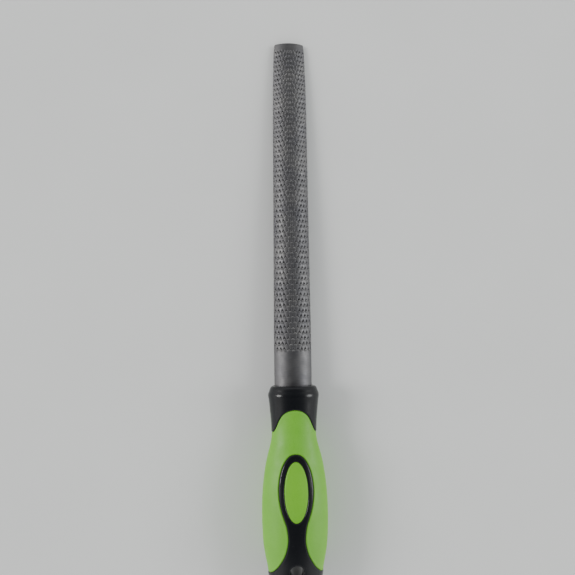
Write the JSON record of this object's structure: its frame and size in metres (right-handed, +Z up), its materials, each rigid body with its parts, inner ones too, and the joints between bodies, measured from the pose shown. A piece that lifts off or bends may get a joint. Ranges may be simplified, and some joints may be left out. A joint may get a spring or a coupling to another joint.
{
  "type": "half-round rasp",
  "caption": "Half-round wood rasp with staggered punched teeth, a plain heel and a two-colour moulded handle with a hanging hole.",
  "frame": {"origin": "centre of the footprint, on the level surface that the tool lies on", "axes": "+X from the handle towards the tip, +Y across the blade, +Z up and out of the round side. The tool lies on its handle and its tip, so its own axis points 2.3 degrees nose down."},
  "size_m": [0.3172, 0.037, 0.0288],
  "materials": {
    "rasp_blade": "hardened and oiled, dull grey with brighter tooth points",
    "handle_core": "glossy black polypropylene",
    "grip_sleeve": "soft satin leaf green",
    "front_oval_inlay": "soft satin leaf green",
    "back_oval_inlay": "soft satin leaf green"
  },
  "bodies": {
    "root": {"rasp_blade": "rasp_blade", "handle_core": "handle_core", "grip_sleeve": "grip_sleeve", "front_oval_inlay": "front_oval_inlay", "back_oval_inlay": "back_oval_inlay"}
  },
  "joints": []
}
